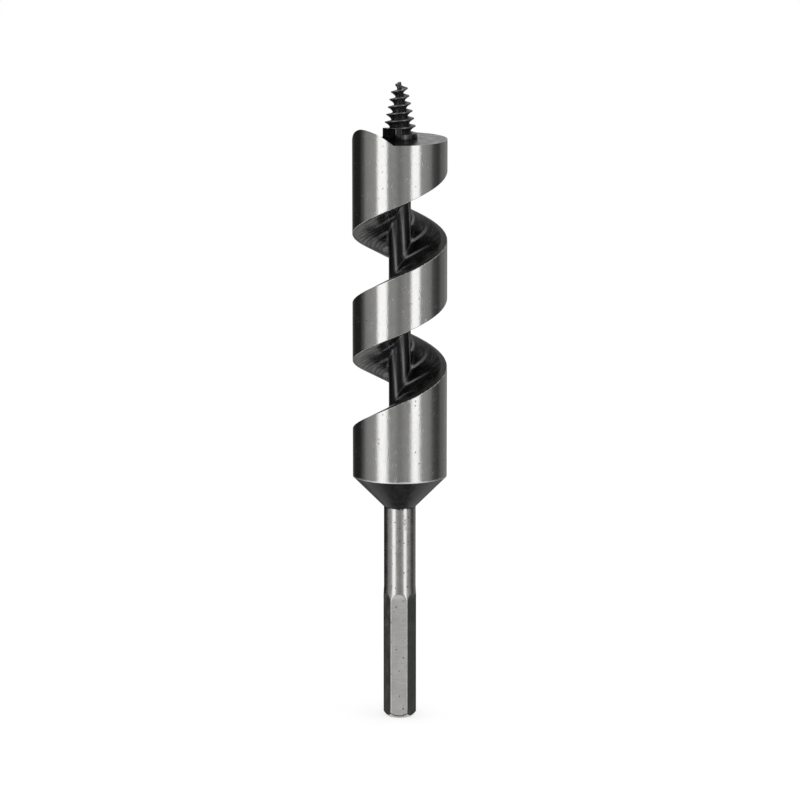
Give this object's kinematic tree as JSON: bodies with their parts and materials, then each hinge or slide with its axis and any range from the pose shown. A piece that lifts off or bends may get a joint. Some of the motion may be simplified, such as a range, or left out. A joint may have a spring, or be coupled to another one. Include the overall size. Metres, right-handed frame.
{
  "type": "auger bit",
  "caption": "Short steel wood auger bit: deep single-twist flute, threaded feed screw, one scoring spur and a milled hexagonal shank.",
  "frame": {"origin": "centre of the shank's end face, where the bit's axis leaves the shank", "axes": "+Z along the bit's axis from the shank to the feed screw's tip; the picture looks along +Y, with +X to its right"},
  "size_m": [0.024, 0.024, 0.163],
  "materials": {
    "bright_steel": "ground and polished, with fine marks along and across, bare",
    "black_steel": "black oxide, satin",
    "shank_steel": "ground neck and milled flats, lightly pitted"
  },
  "bodies": {
    "root": {"feed_screw": "black_steel", "screw_block": "black_steel", "spur": "bright_steel", "cutting_head": "bright_steel", "upper_twist": "bright_steel", "lower_twist": "bright_steel", "collar": "bright_steel", "shoulder": "black_steel", "neck": "shank_steel", "hex_shank": "shank_steel"}
  },
  "joints": []
}
